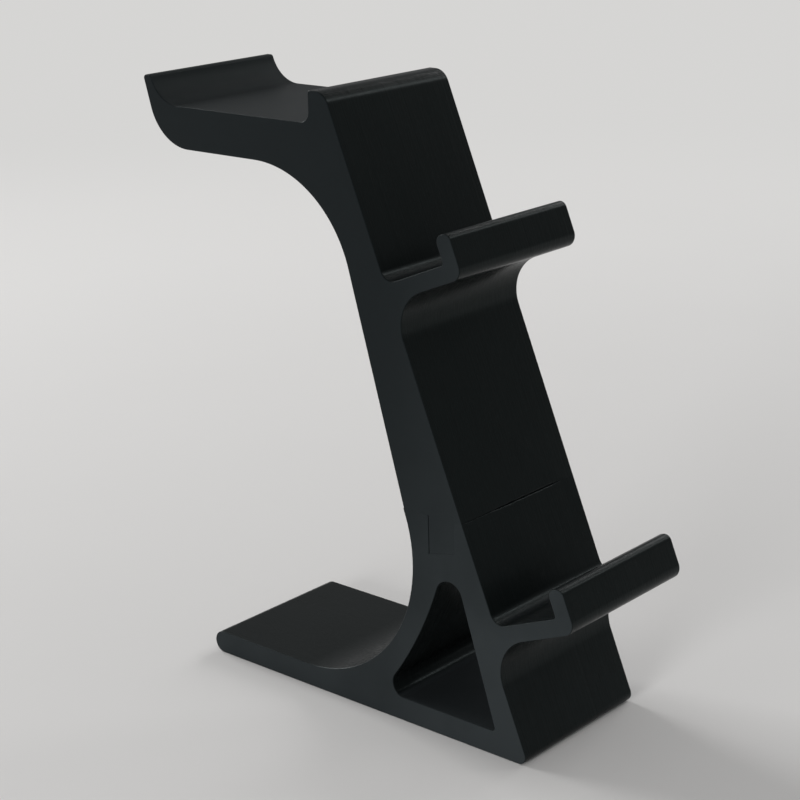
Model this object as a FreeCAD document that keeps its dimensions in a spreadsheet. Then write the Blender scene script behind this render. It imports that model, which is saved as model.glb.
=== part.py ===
import FreeCAD, Part
import math
import os

import Sketcher

# Controller and headset stand: one side profile, the same across the whole width,
# made in two halves that are keyed together across the stem.
# X runs across the stand, +Y towards its back and +Z up, with the table at Z = 0.
# Reaches are counted back from the toe, the sharp corner where the leaning front
# of the foot would meet the table, until the finished halves are centred.

os.makedirs("parts", exist_ok=True)
document = FreeCAD.newDocument("controller_and_headset_stand")

# Millimetres, and degrees for the leans, which are measured from upright.
SIZES = {
    "width": 80.0,
    "front_lean": 22.0,
    "back_lean": 15.4,
    "base_length": 195.0,
    "base_thickness": 11.0,
    "toe_radius": 4.0,
    "stem_root": 43.1,
    "base_sweep_radius": 68.0,
    "arm_height": 249.5,
    "arm_thickness": 19.7,
    "arm_sweep_radius": 57.0,
    "arm_reach": 222.6,
    "cradle_lean": 15.8,
    "cradle_heel_radius": 24.4,
    "cradle_lip_height": 12.8,
    "cradle_lip_thickness": 5.2,
    "cradle_tip_radius": 1.6,
    "trough_end_radius": 17.5,
    "trough_corner_radius": 5.0,
    "block_height": 14.1,
    "block_depth": 9.8,
    "block_front_radius": 8.0,
    "block_back_radius": 1.4,
    "foot_setback": 6.1,
    "lower_ledge_height": 61.1,
    "upper_ledge_height": 204.1,
    "shelf_depth": 35.0,
    "shelf_thickness": 8.0,
    "shelf_embed": 12.0,
    "ledge_radius": 6.0,
    "lower_root_radius": 19.0,
    "upper_root_radius": 18.0,
    "lip_height": 12.2,
    "lip_thickness": 8.0,
    "lip_top_radius": 3.4,
    "lip_bottom_radius": 5.5,
    "lip_foot_radius": 1.5,
    "window_floor": 11.5,
    "window_reach": 18.4,
    "window_length": 66.1,
    "window_rise": 82.2,
    "window_front_lean": 17.2,
    "window_back_radius": 189.0,
    "window_top_radius": 7.3,
    "window_heel_radius": 6.3,
    "window_toe_radius": 1.4,
    "seam_height": 104.2,
    "key_setback": 4.6,
    "key_thickness": 14.3,
    "key_length": 18.0,
    "key_clearance": 0.15,
}

sheet = document.addObject("Spreadsheet::Sheet", "Sizes")
for row, (alias, value) in enumerate(SIZES.items(), 1):
    sheet.set(f"A{row}", alias)
    sheet.set(f"B{row}", str(value))
    sheet.setAlias(f"B{row}", alias)
document.recompute()

# The ends of a curve, and a drawing's own origin, as constraints name them.
START, END, CENTRE = 1, 2, 3
ORIGIN = (-1, START)


def size(alias):
    """A driving size, read from the sheet."""
    return float(sheet.get(alias))


def leaning(point, lean, height):
    """Where a line that leans back by some degrees through a point reaches a height."""
    reach, level = point
    return reach + (height - level) * math.tan(math.radians(lean)), height


class Drawing:
    """A closed outline on the plane midway between a body's side faces."""

    def __init__(self, body, name):
        middle = [plane for plane in body.Origin.OriginFeatures if plane.Role == "YZ_Plane"][0]
        self.sketch = body.newObject("Sketcher::SketchObject", name)
        self.sketch.AttachmentSupport = [(middle, "")]
        self.sketch.MapMode = "FlatFace"
        self.curves = {}

    def set_on_front(self, reach, height):
        """Move the drawing's origin by formulas, and lean its axes like the front."""
        self.sketch.setExpression(".AttachmentOffset.Base.x", reach)
        self.sketch.setExpression(".AttachmentOffset.Base.y", height)
        self.sketch.setExpression(".AttachmentOffset.Rotation.Angle", "-Sizes.front_lean * 1 deg")
        document.recompute()

    def lines(self, start, ends):
        """Draw joined lines, each one named and given by where it ends."""
        previous = None
        for name, end in ends.items():
            segment = Part.LineSegment(FreeCAD.Vector(*start), FreeCAD.Vector(*end))
            self.curves[name] = self.sketch.addGeometry(segment)
            if previous:
                self.rule("Coincident", previous, END, name, START)
            previous, start = name, end

    def arc(self, name, centre, radius, first, last):
        """Draw an arc anticlockwise between two directions in degrees."""
        circle = Part.Circle(FreeCAD.Vector(*centre), FreeCAD.Vector(0, 0, 1), radius)
        curve = Part.ArcOfCircle(circle, math.radians(first), math.radians(last))
        self.curves[name] = self.sketch.addGeometry(curve)

    def rule(self, kind, *places):
        """Add a constraint without a size to named curves and their ends."""
        self.sketch.addConstraint(Sketcher.Constraint(kind, *self.numbered(places)))

    def fix(self, name, kind, places, formula):
        """Add a constraint that follows a formula of the sheet's sizes."""
        if kind == "Angle":
            formula = f"({formula}) * 1 deg"
        value = self.sketch.evalExpression(formula)
        if kind == "Angle":
            value = math.radians(value.Value)
        constraint = Sketcher.Constraint(kind, *self.numbered(places), value)
        self.sketch.renameConstraint(self.sketch.addConstraint(constraint), name)
        self.sketch.setExpression("Constraints." + name, formula)

    def numbered(self, places):
        return [self.curves.get(place, place) for place in places]

    def value(self, formula):
        """A length that a formula of the sheet's sizes gives."""
        return float(self.sketch.evalExpression(formula))

    def end(self, name, which=START):
        """The reach and height of one end of a curve in the solved outline."""
        point = self.sketch.getPoint(self.curves[name], which)
        return self.place(point.x, point.y)

    def place(self, across, along):
        """The reach and height of a point given along the drawing's own axes."""
        point = self.sketch.Placement.multVec(FreeCAD.Vector(across, along, 0))
        return point.y, point.z


def pad(body, drawing, name):
    """Extrude a drawing over the whole width, half to each side."""
    feature = body.newObject("PartDesign::Pad", name)
    feature.Profile = drawing.sketch
    feature.SideType = "Symmetric"
    feature.setExpression("Length", "Sizes.width")
    document.recompute()
    return feature


def draw_side(body):
    """Base, foot, stem, block and headset arm, without the shelves."""
    thickness = size("base_thickness")
    lean = math.radians(size("front_lean"))
    trough = size("arm_height") + size("arm_thickness")
    lip_level = trough + size("cradle_lip_height")
    heel_centre = size("base_length") - thickness / 2
    end_radius = size("trough_end_radius")

    toe = (0, 0)
    root = (size("stem_root"), thickness)
    crook = leaning(root, size("back_lean"), size("arm_height"))
    tip = (size("arm_reach"), lip_level)
    cradle_foot = leaning(tip, size("cradle_lean"), size("arm_height"))
    lip_inside = (tip[0] - size("cradle_lip_thickness"), lip_level)
    rise = math.asin(1 - size("cradle_lip_height") / end_radius)
    end_centre = (lip_inside[0] - end_radius * math.cos(rise), trough + end_radius)
    setback = size("foot_setback")
    panel_foot = (
        size("lower_ledge_height") * math.tan(lean) - setback / math.cos(lean),
        size("lower_ledge_height"),
    )
    foot_top = (
        panel_foot[0] + setback * math.cos(lean),
        panel_foot[1] - setback * math.sin(lean),
    )
    block_front = leaning(panel_foot, size("front_lean"), trough + size("block_height"))
    block_back = (block_front[0] + size("block_depth"), block_front[1])

    side = Drawing(body, "SideOutline")
    side.lines(foot_top, {"foot": toe, "floor": (heel_centre, 0)})
    side.arc("heel", (heel_centre, thickness / 2), thickness / 2, -90, 90)
    side.lines(
        (heel_centre, thickness),
        {
            "base_top": root,
            "stem_back": crook,
            "arm_under": cradle_foot,
            "cradle_back": tip,
            "cradle_lip": lip_inside,
        },
    )
    side.arc("trough_end", end_centre, end_radius, -90, -math.degrees(rise))
    side.lines(
        (end_centre[0], trough),
        {
            "trough_floor": (block_back[0], trough),
            "trough_wall": block_back,
            "block_top": block_front,
            "panel": panel_foot,
            "step": foot_top,
        },
    )

    side.rule("Coincident", "step", END, "foot", START)
    side.rule("Coincident", "foot", END, *ORIGIN)
    side.rule("Tangent", "floor", END, "heel", START)
    side.rule("Tangent", "heel", END, "base_top", START)
    side.rule("Coincident", "cradle_lip", END, "trough_end", END)
    side.rule("Tangent", "trough_end", START, "trough_floor", START)
    for name in ("floor", "base_top", "arm_under", "cradle_lip", "trough_floor", "block_top"):
        side.rule("Horizontal", name)
    side.rule("Vertical", "trough_wall")
    side.rule("Parallel", "foot", "panel")
    side.rule("Perpendicular", "step", "panel")

    side.fix("BaseThickness", "DistanceY", ("floor", START, "base_top", START), "Sizes.base_thickness")
    side.fix(
        "HeelCentre",
        "DistanceX",
        (*ORIGIN, "heel", CENTRE),
        "Sizes.base_length - Sizes.base_thickness / 2",
    )
    side.fix("StemRoot", "DistanceX", (*ORIGIN, "stem_back", START), "Sizes.stem_root")
    side.fix("BackLean", "Angle", ("stem_back",), "90 - Sizes.back_lean")
    side.fix("ArmHeight", "DistanceY", (*ORIGIN, "arm_under", START), "Sizes.arm_height")
    side.fix("CradleLean", "Angle", ("cradle_back",), "90 - Sizes.cradle_lean")
    side.fix("ArmReach", "DistanceX", (*ORIGIN, "cradle_back", END), "Sizes.arm_reach")
    side.fix("LipThickness", "Distance", ("cradle_lip",), "Sizes.cradle_lip_thickness")
    side.fix(
        "LipHeight",
        "DistanceY",
        ("trough_floor", START, "cradle_lip", START),
        "Sizes.cradle_lip_height",
    )
    side.fix("TroughEnd", "Radius", ("trough_end",), "Sizes.trough_end_radius")
    side.fix(
        "ArmThickness",
        "DistanceY",
        ("arm_under", START, "trough_floor", START),
        "Sizes.arm_thickness",
    )
    side.fix("BlockHeight", "Distance", ("trough_wall",), "Sizes.block_height")
    side.fix("BlockDepth", "Distance", ("block_top",), "Sizes.block_depth")
    side.fix("FrontLean", "Angle", ("panel",), "-90 - Sizes.front_lean")
    side.fix("FootSetback", "Distance", ("step",), "Sizes.foot_setback")
    side.fix("LedgeHeight", "DistanceY", (*ORIGIN, "step", START), "Sizes.lower_ledge_height")
    return side


def add_shelf(body, name, ledge_height):
    """A ledge square to the panel with a lip along its front, rooted in the stem."""
    depth, thickness = size("shelf_depth"), size("shelf_thickness")
    lip, rise, embed = size("lip_thickness"), size("lip_height"), size("shelf_embed")
    shelf = Drawing(body, name + "Outline")
    panel_reach = f"{ledge_height} * tan(Sizes.front_lean) - Sizes.foot_setback / cos(Sizes.front_lean)"
    shelf.set_on_front(panel_reach, ledge_height)
    shelf.lines(
        (embed, 0),
        {
            "ledge": (-depth, 0),
            "lip_back": (-depth, rise),
            "lip_top": (-depth - lip, rise),
            "lip_front": (-depth - lip, -thickness),
            "underside": (embed, -thickness),
            "root": (embed, 0),
        },
    )
    shelf.rule("Coincident", "root", END, "ledge", START)
    for level in ("ledge", "lip_top", "underside"):
        shelf.rule("Horizontal", level)
    for upright in ("lip_back", "lip_front", "root"):
        shelf.rule("Vertical", upright)
    shelf.rule("PointOnObject", "ledge", START, -1)
    shelf.fix("Embed", "DistanceX", (*ORIGIN, "ledge", START), "Sizes.shelf_embed")
    shelf.fix("Depth", "DistanceX", ("ledge", END, *ORIGIN), "Sizes.shelf_depth")
    shelf.fix("LipHeight", "Distance", ("lip_back",), "Sizes.lip_height")
    shelf.fix("LipThickness", "Distance", ("lip_top",), "Sizes.lip_thickness")
    shelf.fix("Thickness", "Distance", ("root",), "Sizes.shelf_thickness")
    pad(body, shelf, name)
    return shelf


def cut_window(body):
    """The opening through the foot, with its back side bowed like the sweep behind it."""
    toe = (size("window_reach"), size("window_floor"))
    heel = (toe[0] + size("window_length"), toe[1])
    top = leaning(toe, size("window_front_lean"), toe[1] + size("window_rise"))
    radius = size("window_back_radius")
    half_chord = math.dist(heel, top) / 2
    slope = math.degrees(math.atan2(heel[1] - top[1], heel[0] - top[0]))
    sag = math.degrees(math.asin(half_chord / radius))
    facing = math.radians(slope + 90)
    depth = math.sqrt(radius**2 - half_chord**2)
    middle = ((heel[0] + top[0]) / 2, (heel[1] + top[1]) / 2)
    centre = (middle[0] + depth * math.cos(facing), middle[1] + depth * math.sin(facing))

    window = Drawing(body, "WindowOutline")
    window.lines(heel, {"sill": toe, "front": top})
    window.arc("back", centre, radius, slope - 90 - sag, slope - 90 + sag)
    window.rule("Coincident", "front", END, "back", START)
    window.rule("Coincident", "back", END, "sill", START)
    window.rule("Horizontal", "sill")
    window.fix("Reach", "DistanceX", (*ORIGIN, "sill", END), "Sizes.window_reach")
    window.fix("Floor", "DistanceY", (*ORIGIN, "sill", END), "Sizes.window_floor")
    window.fix("Length", "Distance", ("sill",), "Sizes.window_length")
    window.fix("FrontLean", "Angle", ("front",), "90 - Sizes.window_front_lean")
    window.fix("Rise", "DistanceY", ("front", START, "front", END), "Sizes.window_rise")
    window.fix("BackRadius", "Radius", ("back",), "Sizes.window_back_radius")

    solid_before = body.Shape.Volume
    pocket = body.newObject("PartDesign::Pocket", "Window")
    pocket.Profile = window.sketch
    pocket.SideType = "Symmetric"
    pocket.Type = "ThroughAll"
    document.recompute()
    if pocket.Shape.Volume >= solid_before:
        raise RuntimeError("the window removes nothing")
    return window


def round_corners(body, name, radius, corners):
    """Round the edges that run across the stand through some corners of its profile."""
    base = body.Tip
    edges = []
    for number, edge in enumerate(base.Shape.Edges, 1):
        first, last = edge.Vertexes[0].Point, edge.Vertexes[-1].Point
        along_width = math.dist((first.y, first.z), (last.y, last.z)) < 0.001 < edge.Length
        if along_width and any(math.dist((first.y, first.z), spot) < 0.01 for spot in corners):
            edges.append(f"Edge{number}")
    if len(edges) != len(corners):
        raise RuntimeError(f"{name} finds {len(edges)} of {len(corners)} corners")
    fillet = body.newObject("PartDesign::Fillet", name)
    fillet.Base = (base, edges)
    fillet.setExpression("Radius", radius)
    document.recompute()


def parting_block(name, clearance):
    """All that lies above the seam, with the key that reaches down into the stem."""
    body = document.addObject("PartDesign::Body", name)
    block = Drawing(body, name + "Outline")
    panel_reach = "Sizes.seam_height * tan(Sizes.front_lean) - Sizes.foot_setback / cos(Sizes.front_lean)"
    key_reach = f"{panel_reach} + Sizes.key_setback - {clearance}"
    key_thickness = f"Sizes.key_thickness + 2 * {clearance}"
    key_length = f"Sizes.key_length + {clearance}"

    seam = size("seam_height")
    key_foot = seam - block.value(key_length)
    key_front = block.value(key_reach)
    key_back = key_front + block.value(key_thickness)
    ahead, behind, above = -size("arm_reach"), 2 * size("arm_reach"), 2 * size("arm_height")
    block.lines(
        (ahead, seam),
        {
            "front_seam": (key_front, seam),
            "key_front": (key_front, key_foot),
            "key_foot": (key_back, key_foot),
            "key_back": (key_back, seam),
            "back_seam": (behind, seam),
            "back": (behind, above),
            "top": (ahead, above),
            "front": (ahead, seam),
        },
    )
    block.rule("Coincident", "front", END, "front_seam", START)
    for level in ("front_seam", "key_foot", "back_seam", "top"):
        block.rule("Horizontal", level)
    for upright in ("key_front", "key_back", "back", "front"):
        block.rule("Vertical", upright)
    block.rule("Horizontal", "front_seam", END, "back_seam", START)
    block.fix("Seam", "DistanceY", (*ORIGIN, "front_seam", START), "Sizes.seam_height")
    block.fix("KeyReach", "DistanceX", (*ORIGIN, "key_front", START), key_reach)
    block.fix("KeyThickness", "Distance", ("key_foot",), key_thickness)
    block.fix("KeyLength", "Distance", ("key_front",), key_length)
    block.fix("Ahead", "DistanceX", ("front", START, *ORIGIN), "Sizes.arm_reach")
    block.fix("Behind", "DistanceX", (*ORIGIN, "back", START), "2 * Sizes.arm_reach")
    block.fix("Above", "DistanceY", (*ORIGIN, "top", START), "2 * Sizes.arm_height")
    pad(body, block, name + "Pad")
    return body


stand = document.addObject("PartDesign::Body", "Stand")
side = draw_side(stand)
pad(stand, side, "Side")
lower_shelf = add_shelf(stand, "LowerShelf", "Sizes.lower_ledge_height")
upper_shelf = add_shelf(stand, "UpperShelf", "Sizes.upper_ledge_height")
shelves = (lower_shelf, upper_shelf)
round_corners(stand, "BaseSweep", "Sizes.base_sweep_radius", [side.end("stem_back")])
window = cut_window(stand)

round_corners(stand, "ArmSweep", "Sizes.arm_sweep_radius", [side.end("arm_under")])
round_corners(stand, "CradleHeel", "Sizes.cradle_heel_radius", [side.end("cradle_back")])
round_corners(
    stand,
    "CradleTip",
    "Sizes.cradle_tip_radius",
    [side.end("cradle_lip"), side.end("cradle_lip", END)],
)
round_corners(stand, "TroughCorner", "Sizes.trough_corner_radius", [side.end("trough_wall")])
round_corners(stand, "BlockBack", "Sizes.block_back_radius", [side.end("block_top")])
round_corners(stand, "BlockFront", "Sizes.block_front_radius", [side.end("panel")])
round_corners(stand, "Toe", "Sizes.toe_radius", [side.end("floor")])
round_corners(stand, "Ledges", "Sizes.ledge_radius", [shelf.place(0, 0) for shelf in shelves])
round_corners(stand, "LipFeet", "Sizes.lip_foot_radius", [shelf.end("lip_back") for shelf in shelves])
round_corners(
    stand,
    "LipTops",
    "min(Sizes.lip_top_radius; 0.45 * Sizes.lip_thickness)",
    [shelf.end(line) for shelf in shelves for line in ("lip_top", "lip_front")],
)
round_corners(stand, "LipBottoms", "Sizes.lip_bottom_radius", [shelf.end("underside") for shelf in shelves])
round_corners(
    stand,
    "LowerRoot",
    "Sizes.lower_root_radius",
    [lower_shelf.place(size("foot_setback"), -size("shelf_thickness"))],
)
round_corners(
    stand,
    "UpperRoot",
    "Sizes.upper_root_radius",
    [upper_shelf.place(0, -size("shelf_thickness"))],
)
round_corners(stand, "WindowTop", "Sizes.window_top_radius", [window.end("back")])
round_corners(stand, "WindowHeel", "Sizes.window_heel_radius", [window.end("sill")])
round_corners(stand, "WindowToe", "Sizes.window_toe_radius", [window.end("front")])

# The upper half carries the key and the lower half its socket, a little larger all round.
lower_half = document.addObject("Part::Cut", "LowerHalf")
lower_half.Label = "lower_stand"
lower_half.Base = stand
lower_half.Tool = parting_block("SocketBlock", "Sizes.key_clearance")
upper_half = document.addObject("Part::Common", "UpperHalf")
upper_half.Label = "upper_stand"
upper_half.Base = stand
upper_half.Tool = parting_block("KeyBlock", "0")

# The part's own origin lies on the table, under the middle of the stand.
outer = stand.Shape.BoundBox
halves = (lower_half, upper_half)
for half in halves:
    half.Placement = FreeCAD.Placement(FreeCAD.Vector(0, -outer.Center.y, 0), FreeCAD.Rotation())
document.recompute()

for item in document.Objects:
    if "Invalid" in item.State or "Error" in item.State:
        raise RuntimeError(f"{item.Name} can't be built: {item.State}")
    if item.isDerivedFrom("Sketcher::SketchObject") and not item.FullyConstrained:
        raise RuntimeError(f"{item.Name} is loose")
for half in halves:
    if half.Shape.isNull() or not half.Shape.isValid() or len(half.Shape.Solids) != 1:
        raise RuntimeError(f"{half.Label} isn't one sound solid")
    half.Shape.exportStep(f"parts/{half.Label}.step")
    print(half.Label, round(half.Shape.Volume), "mm3", half.Shape.BoundBox)
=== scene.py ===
import math

import bmesh
import bpy
from mathutils import Matrix, Vector, noise


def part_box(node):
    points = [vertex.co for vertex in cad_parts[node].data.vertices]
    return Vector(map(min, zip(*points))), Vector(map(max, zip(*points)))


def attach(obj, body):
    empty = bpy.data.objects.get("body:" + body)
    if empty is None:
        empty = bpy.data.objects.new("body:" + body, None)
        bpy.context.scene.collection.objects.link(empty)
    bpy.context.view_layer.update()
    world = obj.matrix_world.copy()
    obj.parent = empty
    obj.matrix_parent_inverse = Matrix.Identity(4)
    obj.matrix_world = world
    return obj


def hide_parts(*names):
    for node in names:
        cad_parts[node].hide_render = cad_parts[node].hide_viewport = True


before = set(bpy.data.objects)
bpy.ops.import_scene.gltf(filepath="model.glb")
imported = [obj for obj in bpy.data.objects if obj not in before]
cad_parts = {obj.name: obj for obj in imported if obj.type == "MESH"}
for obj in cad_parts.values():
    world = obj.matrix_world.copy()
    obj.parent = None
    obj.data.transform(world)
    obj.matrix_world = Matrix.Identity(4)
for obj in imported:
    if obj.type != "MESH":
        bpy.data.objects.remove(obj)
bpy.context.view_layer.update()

# Lower half: foot with its window, base tongue and the first controller shelf, one solid print in
# black plastic. It is printed lying on its side, so that its layers are stacked across the width.

lower_lowest, lower_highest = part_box("lower_stand")
WIDTH = lower_highest.x - lower_lowest.x
FRONT_LEAN = math.radians(22.0)
BACK_LEAN = math.radians(15.4)
BASE_LENGTH = 0.195
BASE_THICKNESS = 0.011
TOE_RADIUS = 0.004
STEM_ROOT = 0.0431
BASE_SWEEP_RADIUS = 0.068
FOOT_SETBACK = 0.0061
SEAM_HEIGHT = lower_highest.z
TOE = lower_highest.y - BASE_LENGTH

KEY_SETBACK = 0.0046
KEY_THICKNESS = 0.0143
KEY_LENGTH = 0.018
KEY_FOOT_RISE = 0.0034
KEY_CLEARANCE = 0.00005
GLUE_GAP = 0.00002
SEAM_SILL_RADIUS = 0.0009
SEAM_SLOT = 0.0004
SEAM_REGION = 0.0018
SEAM_RUNS = 48
SAME_POINT = 0.000002

# Where the seam opens or closes across the width, and by what share of the whole slot.
SEAM_STEPS = (
    (-WIDTH / 2, -0.036, 0.35),
    (-0.024, -0.008, 0.65),
    (0.023, 0.033, -1.0),
)
SEAM_RAGGED = 0.35
SEAM_RAGGED_SCALE = 240.0

SHELF_DEPTH = 0.035
SHELF_THICKNESS = 0.008
LEDGE_RADIUS = 0.006
LOWER_LEDGE = 0.0611
LOWER_ROOT_RADIUS = 0.019
LIP_HEIGHT = 0.0122
LIP_THICKNESS = 0.00796
LIP_FOOT_RADIUS = 0.0015
LIP_TOP_RADIUS = 0.0034
LIP_BOTTOM_RADIUS = 0.0055

WINDOW_FLOOR = 0.0115
WINDOW_REACH = 0.0184
WINDOW_LENGTH = 0.0661
WINDOW_RISE = 0.0822
WINDOW_LEAN = math.radians(17.2)
WINDOW_BOW_RADIUS = 0.189
WINDOW_TOE_RADIUS = 0.0014
WINDOW_TOP_RADIUS = 0.0073
WINDOW_HEEL_RADIUS = 0.0063
SILL_TIES = (0.030, 0.060)


def panel_reach(height):
    """How far back of the toe the leaning panel lies at some height."""
    return height * math.tan(FRONT_LEAN) - FOOT_SETBACK / math.cos(FRONT_LEAN)


def back_reach(height):
    """The same for the back of the stem."""
    return STEM_ROOT + (height - BASE_THICKNESS) * math.tan(BACK_LEAN)


def shelf_corner(ledge_height, forward, along):
    """A shelf's corner, counted from the ledge's root, square to the panel and along it."""
    run = math.cos(FRONT_LEAN)
    rise = math.sin(FRONT_LEAN)
    reach = panel_reach(ledge_height) - forward * run + along * rise
    return reach, ledge_height + forward * rise + along * run


def shelf_corners(ledge_height):
    """Ledge, lip and underside of a shelf, from the panel outwards and back, with their radii."""
    lip_front = SHELF_DEPTH + LIP_THICKNESS
    return [
        (*shelf_corner(ledge_height, 0.0, 0.0), LEDGE_RADIUS),
        (*shelf_corner(ledge_height, SHELF_DEPTH, 0.0), LIP_FOOT_RADIUS),
        (*shelf_corner(ledge_height, SHELF_DEPTH, LIP_HEIGHT), LIP_TOP_RADIUS),
        (*shelf_corner(ledge_height, lip_front, LIP_HEIGHT), LIP_TOP_RADIUS),
        (*shelf_corner(ledge_height, lip_front, -SHELF_THICKNESS), LIP_BOTTOM_RADIUS),
    ]


def window_corners():
    """Corners of the window, whose back side is bowed, clockwise from its toe."""
    toe = Vector((WINDOW_REACH, WINDOW_FLOOR))
    heel = toe + Vector((WINDOW_LENGTH, 0.0))
    top = toe + WINDOW_RISE * Vector((math.tan(WINDOW_LEAN), 1.0))
    chord = heel - top
    square = Vector((-chord.y, chord.x)).normalized()
    bow = (heel + top) / 2 + square * math.sqrt(WINDOW_BOW_RADIUS**2 - (chord.length / 2) ** 2)

    # The small arcs at the heel and the top touch the bow from its outside.
    heel_height = WINDOW_FLOOR + WINDOW_HEEL_RADIUS
    heel_drop = bow.y - heel_height
    heel_distance = WINDOW_BOW_RADIUS + WINDOW_HEEL_RADIUS
    heel_reach = bow.x - math.sqrt(heel_distance**2 - heel_drop**2)
    heel_turn = (Vector((heel_reach, heel_height)) - bow).normalized()
    front = Vector((math.sin(WINDOW_LEAN), math.cos(WINDOW_LEAN)))
    inward = Vector((front.y, -front.x))
    start = toe + inward * WINDOW_TOP_RADIUS - bow
    along = start.dot(front)
    top_distance = WINDOW_BOW_RADIUS + WINDOW_TOP_RADIUS
    reach = math.sqrt(along**2 - start.length_squared + top_distance**2)
    top_turn = (start + front * (-along - reach)).normalized()
    middle_turn = (heel_turn + top_turn).normalized()
    half_turn = heel_turn.angle(top_turn) / 2
    crown = bow + middle_turn * WINDOW_BOW_RADIUS / math.cos(half_turn)
    top_run = (bow + top_turn * WINDOW_BOW_RADIUS - crown).normalized()
    heel_run = (bow + heel_turn * WINDOW_BOW_RADIUS - crown).normalized()
    gap = crown - toe
    climb = (gap.x * top_run.y - gap.y * top_run.x) / (front.x * top_run.y - front.y * top_run.x)
    top_corner = toe + front * climb
    heel_corner = crown + heel_run * (crown.y - WINDOW_FLOOR) / -heel_run.y
    return [
        (*toe, WINDOW_TOE_RADIUS),
        (*top_corner, WINDOW_TOP_RADIUS),
        (*crown, WINDOW_BOW_RADIUS),
        (*heel_corner, WINDOW_HEEL_RADIUS),
        *((tie, WINDOW_FLOOR, 0.0) for tie in reversed(SILL_TIES)),
    ]


def outline_mesh(name, loops):
    """Closed runs of straight lines, which remember the radius that each corner gets."""
    points, edges, radii = [], [], []
    for loop in loops:
        first = len(points)
        for number, (reach, height, radius) in enumerate(loop):
            points.append((TOE + reach, height, 0.0))
            edges.append((first + number, first + (number + 1) % len(loop)))
            radii.append(radius)
    mesh = bpy.data.meshes.new(name)
    mesh.from_pydata(points, edges, [])
    mesh.attributes.new("corner_radius", "FLOAT", "POINT").data.foreach_set("value", radii)
    return mesh


def print_tree():
    """Rounds the corners of an outline, fills it and draws it out across the stand's width."""
    tree = bpy.data.node_groups.new("drawn_out_outline", "GeometryNodeTree")
    for socket_name, kind in (
        ("Outline", "Geometry"),
        ("Width", "Float"),
        ("Arc Steps", "Int"),
        ("Plastic", "Material"),
    ):
        tree.interface.new_socket(socket_name, in_out="INPUT", socket_type="NodeSocket" + kind)
    tree.interface.new_socket("Print", in_out="OUTPUT", socket_type="NodeSocketGeometry")

    def add(kind, values, **settings):
        node = tree.nodes.new(kind)
        for setting, value in settings.items():
            setattr(node, setting, value)
        for socket_name, value in values.items():
            socket = node.inputs[socket_name]
            if isinstance(value, bpy.types.NodeSocket):
                tree.links.new(value, socket)
            else:
                socket.default_value = value
        return node.outputs[0]

    given = tree.nodes.new("NodeGroupInput").outputs
    radius = add("GeometryNodeInputNamedAttribute", {"Name": "corner_radius"}, data_type="FLOAT")
    rounded = add("FunctionNodeCompare", {"A": radius, "B": 0.0}, operation="GREATER_THAN")
    steps = add("ShaderNodeMath", {0: rounded, 1: given["Arc Steps"]}, operation="MULTIPLY")
    curve = add("GeometryNodeMeshToCurve", {"Mesh": given["Outline"]})
    fillet = add(
        "GeometryNodeFilletCurve",
        {"Curve": curve, "Count": steps, "Radius": radius, "Limit Radius": False},
        mode="POLY",
    )
    near = add("GeometryNodeFillCurve", {"Curve": fillet}, mode="NGONS")
    across = add("ShaderNodeCombineXYZ", {"Z": given["Width"]})
    drawn = add(
        "GeometryNodeExtrudeMesh",
        {"Mesh": near, "Offset": across, "Individual": False},
        mode="FACES",
    )
    turned = add("GeometryNodeFlipFaces", {"Mesh": near})
    joined = tree.nodes.new("GeometryNodeJoinGeometry")
    tree.links.new(drawn, joined.inputs[0])
    tree.links.new(turned, joined.inputs[0])
    closed = add(
        "GeometryNodeMergeByDistance",
        {"Geometry": joined.outputs[0], "Distance": SAME_POINT},
    )

    # The outline is drawn flat: its reach and height become Y and Z, and the width lies along X.
    place = tree.nodes.new("GeometryNodeInputPosition").outputs[0]
    parts = tree.nodes.new("ShaderNodeSeparateXYZ")
    tree.links.new(place, parts.inputs[0])
    half = add("ShaderNodeMath", {0: given["Width"], 1: 0.5}, operation="MULTIPLY")
    side = add("ShaderNodeMath", {0: parts.outputs["Z"], 1: half}, operation="SUBTRACT")
    stood = add(
        "ShaderNodeCombineXYZ",
        {"X": side, "Y": parts.outputs["X"], "Z": parts.outputs["Y"]},
    )
    upright = add("GeometryNodeSetPosition", {"Geometry": closed, "Position": stood})
    smooth = add("GeometryNodeSetShadeSmooth", {"Geometry": upright})
    whole = add("GeometryNodeRealizeInstances", {"Geometry": smooth})
    finished = add("GeometryNodeSetMaterial", {"Geometry": whole, "Material": given["Plastic"]})
    tree.links.new(finished, tree.nodes.new("NodeGroupOutput").inputs["Print"])
    return tree


PRINT_TREE = print_tree()
ARC_STEPS = 32
RIM_WIDTH = 0.0005
RIM_STEPS = 3
RIM_TURN = math.radians(40.0)
GLUED_RIM = 0.03
KEY_FOOT_RIM = 0.2

socket_front = panel_reach(SEAM_HEIGHT) + KEY_SETBACK - GLUE_GAP
socket_back = socket_front + GLUE_GAP + KEY_THICKNESS + KEY_CLEARANCE
socket_floor = SEAM_HEIGHT - KEY_LENGTH - GLUE_GAP
joint_line = [
    (back_reach(SEAM_HEIGHT), SEAM_HEIGHT),
    (socket_back, SEAM_HEIGHT),
    (socket_back, socket_floor),
    (socket_front, socket_floor + KEY_FOOT_RISE),
    (socket_front, SEAM_HEIGHT),
    (panel_reach(SEAM_HEIGHT), SEAM_HEIGHT),
]
joint_corners = [Vector((TOE + reach, height)) for reach, height in joint_line]
seam_ends = (joint_corners[0], joint_corners[-1])


def ease(value, low, high):
    """Goes smoothly from 0 to 1 as a value goes from low to high."""
    share = min(max((value - low) / (high - low), 0.0), 1.0)
    return share * share * (3.0 - 2.0 * share)


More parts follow.
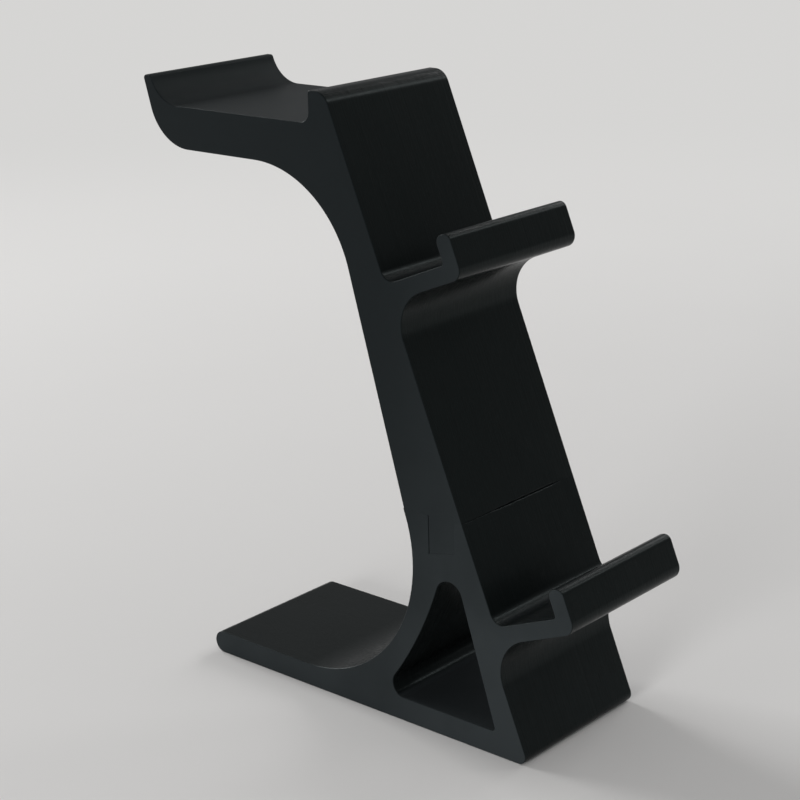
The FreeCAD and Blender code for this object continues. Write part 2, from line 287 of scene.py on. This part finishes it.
def seam_opening(across):
    """How open the glued seam is, from 0 to 1. It closes towards both sides of the stand."""
    opening = sum(share * ease(across, first, last) for first, last, share in SEAM_STEPS)
    ragged = 1.0 + SEAM_RAGGED * noise.noise(Vector((across * SEAM_RAGGED_SCALE, 0.0, 0.0)))
    return opening * ragged


def fit_seam(mesh, slot):
    """Cuts the seam into runs, closes it towards the sides, and sets the widths of the rims."""
    shape = bmesh.new()
    shape.from_mesh(mesh)

    def seam_corner(vert):
        near = [corner for corner in seam_ends if (vert.co.yz - corner).length < SEAM_REGION]
        return near[0] if near else None

    long_edges = [
        edge
        for edge in shape.edges
        if abs(edge.verts[0].co.x - edge.verts[1].co.x) > WIDTH / 2 and seam_corner(edge.verts[0])
    ]
    bmesh.ops.subdivide_edges(shape, edges=long_edges, cuts=SEAM_RUNS - 1, use_grid_fill=True)
    for vert in shape.verts:
        corner = seam_corner(vert)
        if corner:
            rounding = vert.co.yz - corner - Vector((0.0, slot))
            vert.co.yz = corner + rounding * seam_opening(vert.co.x)
    bmesh.ops.remove_doubles(shape, verts=shape.verts, dist=SAME_POINT)
    spare = [vert for vert in shape.verts if len(vert.link_edges) == 2]
    bmesh.ops.dissolve_verts(shape, verts=spare)

    def near_any(edge, corners):
        return all(
            any((vert.co.yz - corner).length < SEAM_REGION for corner in corners)
            for vert in edge.verts
        )

    # The key shows as a line at its back and a faint one at its foot. The rest is closed by glue.
    widths = shape.edges.layers.float.new("bevel_weight_edge")
    for edge in shape.edges:
        if edge.calc_face_angle(0.0) <= RIM_TURN:
            continue
        edge[widths] = 1.0
        if near_any(edge, seam_ends) and edge.verts[0].co.x != edge.verts[1].co.x:
            edge[widths] = 0.0
        elif near_any(edge, joint_corners[2:4]):
            edge[widths] = KEY_FOOT_RIM
        elif near_any(edge, joint_corners) and not near_any(edge, joint_corners[1:3]):
            edge[widths] = GLUED_RIM
    shape.to_mesh(mesh)
    shape.free()


def printed(name, loops, plastic, slot=0.0):
    """One half of the stand: its outline drawn out across the width, with its rims eased."""
    drawing = bpy.data.objects.new(name + "_outline", outline_mesh(name, loops))
    bpy.context.scene.collection.objects.link(drawing)
    nodes = drawing.modifiers.new("Print", "NODES")
    nodes.node_group = PRINT_TREE
    sockets = {item.name: item.identifier for item in PRINT_TREE.interface.items_tree}
    nodes[sockets["Width"]] = WIDTH
    nodes[sockets["Arc Steps"]] = ARC_STEPS
    nodes[sockets["Plastic"]] = plastic
    evaluated = drawing.evaluated_get(bpy.context.evaluated_depsgraph_get())
    mesh = bpy.data.meshes.new_from_object(evaluated)
    bpy.data.objects.remove(drawing)
    fit_seam(mesh, slot)

    piece = bpy.data.objects.new(name, mesh)
    bpy.context.scene.collection.objects.link(piece)
    rim = piece.modifiers.new("Eased rims", "BEVEL")
    rim.width = RIM_WIDTH
    rim.segments = RIM_STEPS
    rim.limit_method = "WEIGHT"
    rim.use_clamp_overlap = False
    flats = piece.modifiers.new("True flats", "WEIGHTED_NORMAL")
    flats.weight = 100
    return piece


class Value:
    """A shader socket that Python's own operators work on."""

    tree = None

    def __init__(self, socket):
        self.socket = socket

    @classmethod
    def node(cls, kind, settings=None, inputs=None, output=0):
        """Adds a node with its settings, then its inputs, and gives one of its outputs."""
        node = cls.tree.nodes.new(kind)
        for setting, value in (settings or {}).items():
            setattr(node, setting, value)
        for key, value in (inputs or {}).items():
            if isinstance(value, Value):
                cls.tree.links.new(value.socket, node.inputs[key])
            else:
                node.inputs[key].default_value = value
        return cls(node.outputs[output])

    @classmethod
    def maths(cls, operation, *terms):
        return cls.node("ShaderNodeMath", {"operation": operation}, dict(enumerate(terms)))

    def __add__(self, other):
        return self.maths("ADD", self, other)

    def __radd__(self, other):
        return self.maths("ADD", other, self)

    def __sub__(self, other):
        return self.maths("SUBTRACT", self, other)

    def __rsub__(self, other):
        return self.maths("SUBTRACT", other, self)

    def __mul__(self, other):
        return self.maths("MULTIPLY", self, other)

    def __rmul__(self, other):
        return self.maths("MULTIPLY", other, self)

    def __abs__(self):
        return self.maths("ABSOLUTE", self)

    def ramp(self, low, high, low_value=0.0, high_value=1.0):
        """Goes smoothly from one value to another as this one goes from low to high."""
        limits = {
            "Value": self,
            "From Min": low,
            "From Max": high,
            "To Min": low_value,
            "To Max": high_value,
        }
        return self.node("ShaderNodeMapRange", {"interpolation_type": "SMOOTHSTEP"}, limits)


LAYER_PITCH = 0.0002
LAYER_RELIEF = 0.000020
RASTER_PITCH = 0.00042
RASTER_RELIEF = 0.000004
GRAIN_SIZE = 0.00035
GRAIN_RELIEF = 0.000012
PATCH_SCALE = 90.0
PATCH_RELIEF = 0.000040
CLOUD_SCALE = 28.0

# A pair says where a mask starts and where it ends, in metres or as a share.
SIDE_FACING = (0.6, 0.9)
TOP_FACING = (0.8, 0.95)
# Painted light: the heights, reaches and shares from here on lighten the colour low on the sides,
# at the front, on the sill, the ledges and the trough, and dull the same places a little.
LIGHTER_LOW_HEIGHT = 0.17
LIGHTER_FRONT_REACH = -0.01
SILL_HEIGHT = (0.012, 0.020)
SILL_BACK = (-0.012, -0.010)
LEDGE_HEIGHT = (0.020, 0.040)
TROUGH_HEIGHT = (0.262, 0.268)
TROUGH_FRONT = (0.0185, 0.0205)
UNEVEN_SHARE_CLOUDS = (0.25, 0.75)
UNEVEN_SHARE_LEAST = 0.6
WALL_LIGHT_AND_DUST = 0.12
SIDE_LIGHT_AND_DUST = 0.7
SILL_LIGHT_AND_DUST = 0.9
LEDGE_LIGHT_AND_DUST = 0.25
TROUGH_LIGHT_AND_DUST = 0.35
PATCH_DUST = 0.05

WALL_BLACK = (0.0052, 0.0068, 0.0067, 1.0)
SIDE_BLACK = (0.0064, 0.0080, 0.0090, 1.0)
# The lighter black that the painted light and the random patches mix towards.
LIT_AND_DUSTY_BLACK = (0.0240, 0.0280, 0.0300, 1.0)
SPECULAR_TINT = (0.78, 1.0, 1.0, 1.0)
SATIN = 0.27
SIDE_DULLNESS = 0.10
DUST_DULLNESS = 0.04
TROUGH_DULLNESS = 0.2
UNEVEN_SATIN = 0.06

# Where the Mix node takes its two colours and gives the mixed one.
FIRST_COLOUR = 6
SECOND_COLOUR = 7
MIXED_COLOUR = 2


def printed_plastic(name, seed):
    """Satin black plastic: layers across the width, raster lines on the sides, painted light."""
    material = bpy.data.materials.new(name)
    material.use_nodes = True
    tree = material.node_tree
    tree.nodes.clear()
    Value.tree = tree
    place = Value.node("ShaderNodeTexCoord", output="Object")
    facing = Value.node("ShaderNodeTexCoord", output="Normal")
    facing_up = Value.node("ShaderNodeSeparateXYZ", inputs={0: facing}, output="Z")
    across, along, height = (
        Value.node("ShaderNodeSeparateXYZ", inputs={0: place}, output=axis) for axis in "XYZ"
    )

    def mottle(scale, detail, roughness, offset):
        shifted = Value.node(
            "ShaderNodeVectorMath",
            {"operation": "ADD"},
            {0: place, 1: (seed, offset, seed * offset)},
        )
        return Value.node(
            "ShaderNodeTexNoise",
            {"noise_dimensions": "3D"},
            {"Vector": shifted, "Scale": scale, "Detail": detail, "Roughness": roughness},
        )

    def mixed(factor, first, second):
        inputs = {"Factor": factor, FIRST_COLOUR: first, SECOND_COLOUR: second}
        return Value.node("ShaderNodeMix", {"data_type": "RGBA"}, inputs, MIXED_COLOUR)

    facing_across = Value.node("ShaderNodeSeparateXYZ", inputs={0: facing}, output="X")
    side = abs(facing_across).ramp(*SIDE_FACING)
    clouds = mottle(CLOUD_SCALE, detail=3.0, roughness=0.55, offset=1.7)
    patches = mottle(PATCH_SCALE, detail=4.0, roughness=0.6, offset=4.1)
    grain = mottle(1.0 / GRAIN_SIZE, detail=2.0, roughness=0.6, offset=7.3)
    layers = Value.node(
        "ShaderNodeTexNoise",
        {"noise_dimensions": "1D"},
        {"W": across + seed, "Scale": 1.0 / LAYER_PITCH, "Detail": 0.0},
    )

    # The raster lines of a side's last layer run at 45 degrees.
    raster = Value.maths("SINE", (along + height) * (2 * math.pi / math.sqrt(2.0) / RASTER_PITCH))

    # Painted light: the colour is lightened on the sides low down and at the front, on the
    # window's sill, the ledges and the trough, for the light that these faces catch. The same
    # share also dulls these places a little, as fine dust does.
    low = height.ramp(0.0, LIGHTER_LOW_HEIGHT, 1.0, 0.0)
    front = along.ramp(TOE, LIGHTER_FRONT_REACH, 1.0, 0.0)
    uneven_share = clouds.ramp(*UNEVEN_SHARE_CLOUDS, UNEVEN_SHARE_LEAST, 1.0)
    lying = facing_up.ramp(*TOP_FACING)
    sill = lying * height.ramp(*SILL_HEIGHT, 1.0, 0.0) * along.ramp(*SILL_BACK, 1.0, 0.0)
    ledge = lying * height.ramp(*LEDGE_HEIGHT)
    in_trough = height.ramp(*TROUGH_HEIGHT) * along.ramp(*TROUGH_FRONT) * (1.0 - side)
    light_and_dust = uneven_share * (low * (1.0 - side) * WALL_LIGHT_AND_DUST + (low + front) * side * SIDE_LIGHT_AND_DUST)
    light_and_dust = light_and_dust + sill * SILL_LIGHT_AND_DUST + ledge * LEDGE_LIGHT_AND_DUST + in_trough * TROUGH_LIGHT_AND_DUST
    black = mixed(side, WALL_BLACK, SIDE_BLACK)
    # The colour goes towards the lighter black by the painted light share and by random patches.
    colour = mixed(light_and_dust + patches * PATCH_DUST, black, LIT_AND_DUSTY_BLACK)
    roughness = SATIN + side * SIDE_DULLNESS + light_and_dust * DUST_DULLNESS + in_trough * TROUGH_DULLNESS
    roughness = roughness + (clouds - 0.5) * UNEVEN_SATIN + (layers - 0.5) * UNEVEN_SATIN
    relief = (
        (layers - 0.5) * (1.0 - side) * LAYER_RELIEF
        + raster * side * RASTER_RELIEF
        + (grain - 0.5) * GRAIN_RELIEF
        + (patches - 0.5) * PATCH_RELIEF
    )
    bump = Value.node(
        "ShaderNodeBump",
        inputs={"Height": relief, "Strength": 1.0, "Distance": 1.0},
        output="Normal",
    )
    shader = Value.node(
        "ShaderNodeBsdfPrincipled",
        inputs={
            "Base Color": colour,
            "Roughness": roughness,
            "Normal": bump,
            "IOR": 1.46,
            "Specular IOR Level": 0.12,
            "Specular Tint": SPECULAR_TINT,
        },
        output="BSDF",
    )
    tree.links.new(shader.socket, tree.nodes.new("ShaderNodeOutputMaterial").inputs["Surface"])
    return material


# The ties give the side faces short cuts from the foot's underside up to the window.
lower_outline = [
    (0.0, 0.0, TOE_RADIUS),
    *((tie, 0.0, 0.0) for tie in SILL_TIES),
    (BASE_LENGTH, 0.0, BASE_THICKNESS / 2),
    (BASE_LENGTH, BASE_THICKNESS, BASE_THICKNESS / 2),
    (STEM_ROOT, BASE_THICKNESS, BASE_SWEEP_RADIUS),
    (*joint_line[0], SEAM_SILL_RADIUS),
    *((reach, height, 0.0) for reach, height in joint_line[1:-1]),
    (*joint_line[-1], SEAM_SILL_RADIUS),
    *shelf_corners(LOWER_LEDGE),
    (*shelf_corner(LOWER_LEDGE, -FOOT_SETBACK, -SHELF_THICKNESS), LOWER_ROOT_RADIUS),
]
lower_half = printed(
    "lower_half",
    [lower_outline, window_corners()],
    printed_plastic("lower_plastic", 3.0),
    slot=SEAM_SLOT,
)
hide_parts("lower_stand")
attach(lower_half, "root")

# Upper half: stem, second controller shelf, top block and headset arm, the same print in the same
# plastic. A key under it drops into the lower half's socket, where it is glued.

UPPER_LEDGE = 0.2041
UPPER_ROOT_RADIUS = 0.018
SEAM_HEAD_RADIUS = 0.0005
ARM_HEIGHT = 0.2495
ARM_THICKNESS = 0.0197
ARM_SWEEP_RADIUS = 0.057
ARM_REACH = 0.2226
CRADLE_LEAN = math.radians(15.8)
CRADLE_HEEL_RADIUS = 0.0244
CRADLE_LIP_HEIGHT = 0.0128
CRADLE_LIP_THICKNESS = 0.0052
CRADLE_TIP_RADIUS = 0.0016
TROUGH_END_RADIUS = 0.0175
TROUGH_CORNER_RADIUS = 0.005
BLOCK_HEIGHT = 0.0141
BLOCK_DEPTH = 0.0098
BLOCK_FRONT_RADIUS = 0.008
BLOCK_BACK_RADIUS = 0.0014

trough = ARM_HEIGHT + ARM_THICKNESS
cradle_top = trough + CRADLE_LIP_HEIGHT
block_top = trough + BLOCK_HEIGHT
block_back = panel_reach(block_top) + BLOCK_DEPTH
cradle_foot = ARM_REACH - (cradle_top - ARM_HEIGHT) * math.tan(CRADLE_LEAN)
key_front = panel_reach(SEAM_HEIGHT) + KEY_SETBACK
key_back = key_front + KEY_THICKNESS
key_foot = SEAM_HEIGHT - KEY_LENGTH


def arc(centre, radius, first, last):
    """Points along an arc from one angle to another, which need no further rounding."""
    points = []
    for step in range(ARC_STEPS + 1):
        angle = first + (last - first) * step / ARC_STEPS
        reach = centre.x + radius * math.cos(angle)
        height = centre.y + radius * math.sin(angle)
        points.append((reach, height, 0.0))
    return points


# The trough ends in an arc that climbs to the lip, whose inner edge is rounded where they meet.
end_height = trough + TROUGH_END_RADIUS
end_reach = ARM_REACH - CRADLE_LIP_THICKNESS - math.sqrt(
    TROUGH_END_RADIUS**2 - (end_height - cradle_top) ** 2
)
end_centre = Vector((end_reach, end_height))
tip_height = cradle_top - CRADLE_TIP_RADIUS
tip_distance = TROUGH_END_RADIUS + CRADLE_TIP_RADIUS
tip_reach = end_reach + math.sqrt(tip_distance**2 - (end_height - tip_height) ** 2)
tip_centre = Vector((tip_reach, tip_height))
tip_angle = math.atan2(tip_height - end_height, tip_reach - end_reach)
cradle_lip = [
    *arc(tip_centre, CRADLE_TIP_RADIUS, math.pi / 2, math.pi + tip_angle),
    *arc(end_centre, TROUGH_END_RADIUS, tip_angle, -math.pi / 2)[1:],
]
upper_outline = [
    (key_front, key_foot + KEY_FOOT_RISE, 0.0),
    (key_back, key_foot, 0.0),
    (key_back, SEAM_HEIGHT, 0.0),
    (back_reach(SEAM_HEIGHT), SEAM_HEIGHT, SEAM_HEAD_RADIUS),
    (back_reach(ARM_HEIGHT), ARM_HEIGHT, ARM_SWEEP_RADIUS),
    (cradle_foot, ARM_HEIGHT, CRADLE_HEEL_RADIUS),
    (ARM_REACH, cradle_top, CRADLE_TIP_RADIUS),
    *cradle_lip,
    (block_back, trough, TROUGH_CORNER_RADIUS),
    (block_back, block_top, BLOCK_BACK_RADIUS),
    (panel_reach(block_top), block_top, BLOCK_FRONT_RADIUS),
    *shelf_corners(UPPER_LEDGE),
    (*shelf_corner(UPPER_LEDGE, 0.0, -SHELF_THICKNESS), UPPER_ROOT_RADIUS),
    (panel_reach(SEAM_HEIGHT), SEAM_HEIGHT, SEAM_HEAD_RADIUS),
    (key_front, SEAM_HEIGHT, 0.0),
]
upper_half = printed("upper_half", [upper_outline], printed_plastic("upper_plastic", 11.0))
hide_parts("upper_stand")
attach(upper_half, "root")

# Floor: a plain pale sheet of matt board under the stand, wide enough to fill the view. It keeps
# the stand's shadow near by, and shows one even tone further out.

FLOOR_HALF = 12.0
PALE_BOARD = (0.74, 0.73, 0.72, 1.0)
PALER_BOARD = (0.78, 0.77, 0.76, 1.0)
FAR_TONE = (0.670, 0.665, 0.655, 1.0)
FAR_STARTS = 0.4
FAR_ENDS = 1.6

floor_corners = [
    (-FLOOR_HALF, -FLOOR_HALF, 0.0),
    (FLOOR_HALF, -FLOOR_HALF, 0.0),
    (FLOOR_HALF, FLOOR_HALF, 0.0),
    (-FLOOR_HALF, FLOOR_HALF, 0.0),
]
floor_mesh = bpy.data.meshes.new("floor")
floor_mesh.from_pydata(floor_corners, [], [(0, 1, 2, 3)])
floor = bpy.data.objects.new("floor", floor_mesh)
bpy.context.scene.collection.objects.link(floor)


def pale_board():
    """Matt pale board with a very faint mottle, mixed with the even tone by its distance."""
    material = bpy.data.materials.new("pale_board")
    material.use_nodes = True
    tree = material.node_tree
    tree.nodes.clear()
    Value.tree = tree
    place = Value.node("ShaderNodeTexCoord", output="Object")
    mottle = Value.node(
        "ShaderNodeTexNoise",
        inputs={"Vector": place, "Scale": 3.0, "Detail": 4.0},
    )
    colour = Value.node(
        "ShaderNodeMix",
        {"data_type": "RGBA"},
        {"Factor": mottle, FIRST_COLOUR: PALE_BOARD, SECOND_COLOUR: PALER_BOARD},
        MIXED_COLOUR,
    )
    board = Value.node(
        "ShaderNodeBsdfPrincipled", inputs={"Base Color": colour, "Roughness": 0.9}, output="BSDF"
    )
    even = Value.node("ShaderNodeEmission", inputs={"Color": FAR_TONE, "Strength": 1.0})
    distance = Value.node("ShaderNodeVectorMath", {"operation": "LENGTH"}, {0: place}, "Value")
    looked_at = sum(
        Value.node("ShaderNodeLightPath", output=ray)
        for ray in ("Is Camera Ray", "Is Glossy Ray", "Is Transmission Ray")
    )
    share = distance.ramp(FAR_STARTS, FAR_ENDS) * Value.maths("MINIMUM", looked_at, 1.0)
    shader = Value.node("ShaderNodeMixShader", inputs={0: share, 1: board, 2: even})
    tree.links.new(shader.socket, tree.nodes.new("ShaderNodeOutputMaterial").inputs["Surface"])
    return material


floor_mesh.materials.append(pale_board())

# Studio: three soft square lamps, behind the stand, at its right and low at its left, in a dim
# room. The left one only fills in, and puts no glare on the ledges. A small one high at the right
# puts the fine bright lines along the ledges, the lips and the sill.

MIDDLE = Vector((0.0, 0.0, 0.14))
LAMP_DISTANCE = 3.0
ROOM_LIGHT = 0.26


def soft_lamp(name, azimuth, elevation, side, power):
    """A square lamp that faces the stand, placed by the direction that it shines from."""
    data = bpy.data.lights.new(name, "AREA")
    data.shape = "SQUARE"
    data.size = side
    data.energy = power
    lamp = bpy.data.objects.new(name, data)
    flat = math.cos(math.radians(elevation))
    direction = Vector(
        (
            flat * math.cos(math.radians(azimuth)),
            flat * math.sin(math.radians(azimuth)),
            math.sin(math.radians(elevation)),
        )
    )
    lamp.location = MIDDLE + direction * LAMP_DISTANCE
    lamp.rotation_euler = direction.to_track_quat("Z", "Y").to_euler()
    bpy.context.scene.collection.objects.link(lamp)
    return lamp


soft_lamp("behind", 90.0, 26.0, 1.6, 56.0)
soft_lamp("right", 6.0, 19.0, 1.6, 27.0)
soft_lamp("spark", 332.0, 36.0, 0.4, 4.5)
fill = soft_lamp("left", 190.0, 9.0, 1.0, 56.0)
fill.visible_glossy = False

room = bpy.data.worlds.new("room")
bpy.context.scene.world = room
room.use_nodes = True
walls = room.node_tree.nodes["Background"]
walls.inputs["Color"].default_value = (1.0, 1.0, 1.0, 1.0)
walls.inputs["Strength"].default_value = ROOM_LIGHT

# Camera: where the photo was taken from, worked out from the stand's own edges, which are parallel
# or square to each other. It looks down on the stand's left side and its front.

CAMERA_PLACE = Vector((-0.6413, -0.4664 + TOE, 0.4110))
CAMERA_YAW = math.radians(41.685)
CAMERA_PITCH = math.radians(17.710)
CAMERA_ROLL = math.radians(-1.474)
camera_data = bpy.data.cameras.new("camera")
camera_data.lens = 88.28
camera_data.sensor_width = 36.0
camera = bpy.data.objects.new("camera", camera_data)
turn = Matrix.Rotation(CAMERA_YAW - math.pi / 2, 4, "Z")
tilt = Matrix.Rotation(math.pi / 2 - CAMERA_PITCH, 4, "X")
roll = Matrix.Rotation(CAMERA_ROLL, 4, "Z")
camera.matrix_world = Matrix.Translation(CAMERA_PLACE) @ turn @ tilt @ roll
bpy.context.scene.collection.objects.link(camera)
bpy.context.scene.camera = camera
bpy.context.scene.view_settings.view_transform = "Standard"
